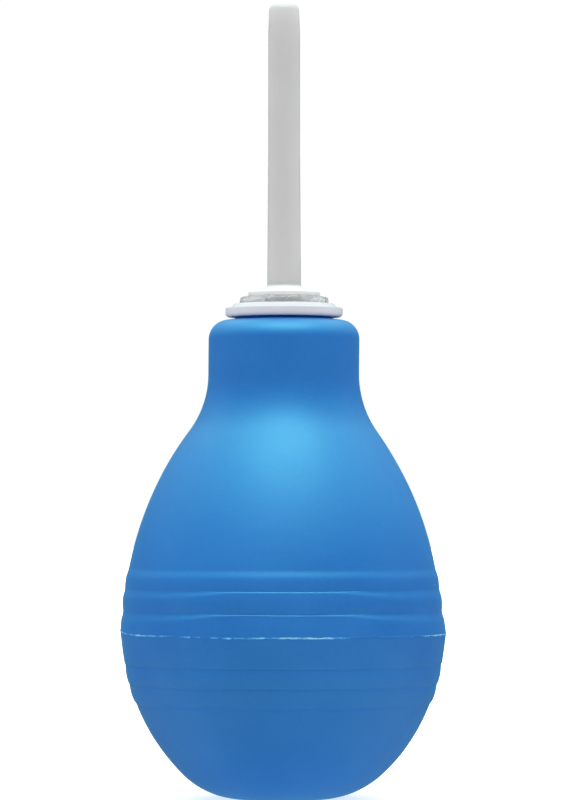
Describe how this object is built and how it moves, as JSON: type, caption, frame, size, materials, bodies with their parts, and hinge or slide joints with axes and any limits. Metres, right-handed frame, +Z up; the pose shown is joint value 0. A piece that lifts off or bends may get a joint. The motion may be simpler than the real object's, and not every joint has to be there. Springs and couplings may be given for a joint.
{
  "type": "bulb irrigation syringe",
  "caption": "Soft hollow squeeze bulb with stepped grip rings, a snap-in neck collar, a sealing washer and a long slender screw-in nozzle; used to draw up and expel liquid.",
  "frame": {"origin": "centre of the flat base that the bulb stands on", "axes": "+Z up along the axis of the bulb and the nozzle; -Y is the front, and the two squeeze walls face -Y and +Y"},
  "size_m": [0.084, 0.084, 0.2045],
  "materials": {
    "bulb_skin": "satin soft PVC, slightly milky",
    "collar_plastic": "semi-gloss white",
    "washer_clear": "translucent, clear grey",
    "nozzle_plastic": "satin off-white"
  },
  "bodies": {
    "bulb": {"bulb": "bulb_skin", "neck_collar": "collar_plastic"},
    "front_wall": {"front_squeeze_wall": "bulb_skin"},
    "rear_wall": {"rear_squeeze_wall": "bulb_skin"},
    "washer": {"sealing_washer": "washer_clear"},
    "nozzle": {"nozzle": "nozzle_plastic"}
  },
  "joints": [
    {"name": "front_squeeze", "type": "slide", "parent": "bulb", "child": "front_wall", "axis": [0, 1, 0], "range_m": [0, 0.022], "stiffness_N_per_m": 500},
    {"name": "rear_squeeze", "type": "slide", "parent": "bulb", "child": "rear_wall", "axis": [0, -1, 0], "range_m": [0, 0.022], "stiffness_N_per_m": 500},
    {"name": "nozzle_lift", "type": "slide", "parent": "bulb", "child": "washer", "axis": [0, 0, 1], "range_m": [0, 0.009]},
    {"name": "nozzle_turn", "type": "hinge", "parent": "washer", "child": "nozzle", "pos_m": [0, 0, 0.12885], "axis": [0, 0, 1], "range_deg": [0, 1080]}
  ],
  "couplings": [
    {"joint": "nozzle_turn", "follows": "nozzle_lift", "rad_per_m": 2094.3}
  ]
}
